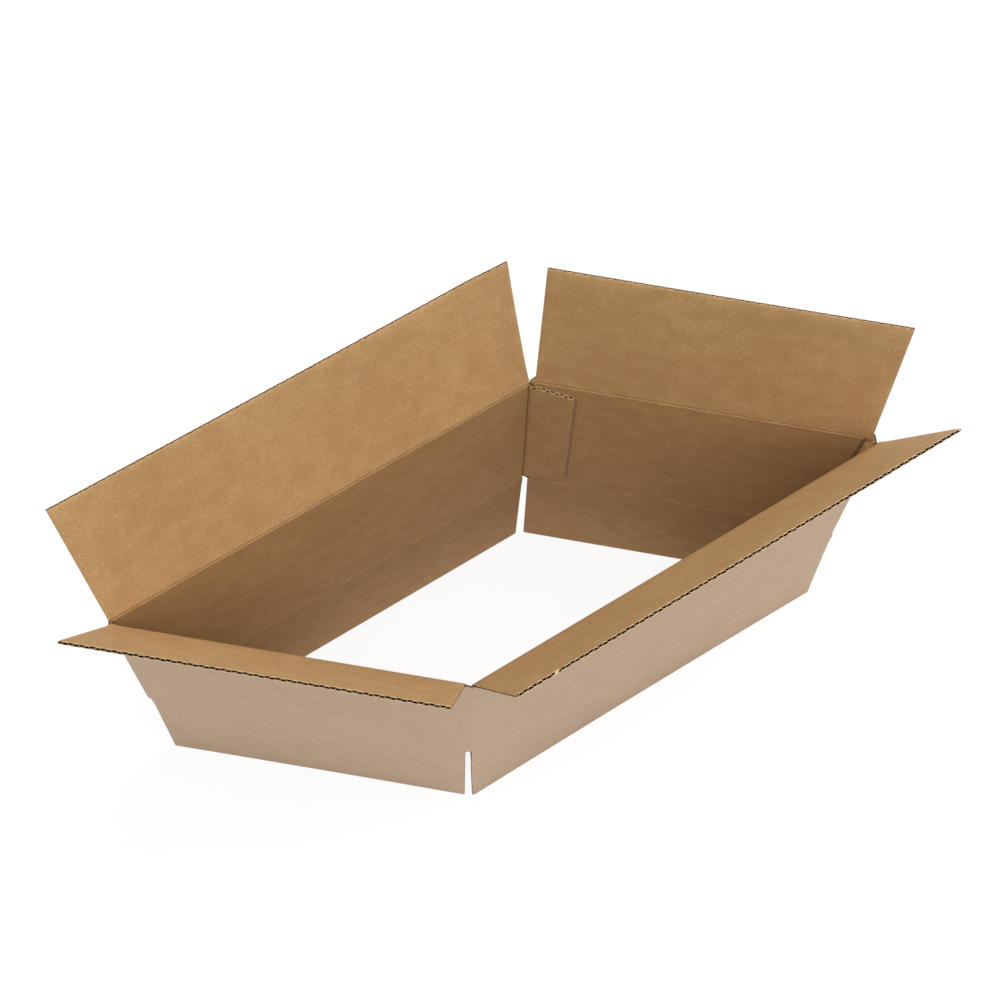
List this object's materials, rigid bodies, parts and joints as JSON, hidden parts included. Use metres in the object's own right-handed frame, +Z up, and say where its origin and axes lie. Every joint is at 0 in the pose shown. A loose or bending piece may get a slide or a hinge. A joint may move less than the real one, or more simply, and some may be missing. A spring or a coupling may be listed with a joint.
{
  "type": "shipping box",
  "caption": "Open shipping box of corrugated kraft board, sprung out of square, standing on its hanging bottom flaps with its top flaps leaning out; each flap hinges at its score.",
  "frame": {"origin": "middle of the whole box's footprint, its bounding box seen from above, on the floor under the bottom flaps", "axes": "+X runs along the long walls, +Y from the long front wall to the long rear wall, +Z up"},
  "size_m": [0.5296, 0.2384, 0.3977],
  "materials": {
    "kraft_board": "uncoated brown kraft, matte"
  },
  "bodies": {
    "tube": {"tube": "kraft_board"},
    "flap_top_long_front": {"flap_top_long_front": "kraft_board"},
    "flap_top_short_rear": {"flap_top_short_rear": "kraft_board"},
    "flap_top_long_rear": {"flap_top_long_rear": "kraft_board"},
    "flap_top_short_front": {"flap_top_short_front": "kraft_board"},
    "flap_bottom_long_front": {"flap_bottom_long_front": "kraft_board"},
    "flap_bottom_short_rear": {"flap_bottom_short_rear": "kraft_board"},
    "flap_bottom_long_rear": {"flap_bottom_long_rear": "kraft_board"},
    "flap_bottom_short_front": {"flap_bottom_short_front": "kraft_board"}
  },
  "joints": [
    {"name": "hinge_top_long_front", "type": "hinge", "parent": "tube", "child": "flap_top_long_front", "pos_m": [0.0936, -0.07344, 0.28052], "axis": [1, 0, 0], "range_deg": [-22.7, 147.3]},
    {"name": "hinge_top_short_rear", "type": "hinge", "parent": "tube", "child": "flap_top_short_rear", "pos_m": [0.16694, 0.01054, 0.28052], "axis": [-0.7414, 0.6711, 0], "range_deg": [-9.6, 160.4]},
    {"name": "hinge_top_long_rear", "type": "hinge", "parent": "tube", "child": "flap_top_long_rear", "pos_m": [-0.07643, 0.08532, 0.28052], "axis": [-1, -0.005, 0], "range_deg": [-16.2, 153.8]},
    {"name": "hinge_top_short_front", "type": "hinge", "parent": "tube", "child": "flap_top_short_front", "pos_m": [-0.14888, 0.00331, 0.28052], "axis": [0.7478, -0.6639, 0], "range_deg": [-23.2, 146.8]},
    {"name": "hinge_bottom_long_front", "type": "hinge", "parent": "tube", "child": "flap_bottom_long_front", "pos_m": [0.0936, -0.07344, 0.11852], "axis": [-1, 0, 0], "range_deg": [-1.2, 88.8]},
    {"name": "hinge_bottom_short_rear", "type": "hinge", "parent": "tube", "child": "flap_bottom_short_rear", "pos_m": [0.16694, 0.01054, 0.11852], "axis": [0.7414, -0.6711, 0], "range_deg": [-1.2, 88.8]},
    {"name": "hinge_bottom_long_rear", "type": "hinge", "parent": "tube", "child": "flap_bottom_long_rear", "pos_m": [-0.07643, 0.08532, 0.11852], "axis": [1, 0.005, 0], "range_deg": [-2, 88]},
    {"name": "hinge_bottom_short_front", "type": "hinge", "parent": "tube", "child": "flap_bottom_short_front", "pos_m": [-0.14888, 0.00331, 0.11852], "axis": [-0.7478, 0.6639, 0], "range_deg": [-1.2, 88.8]}
  ]
}
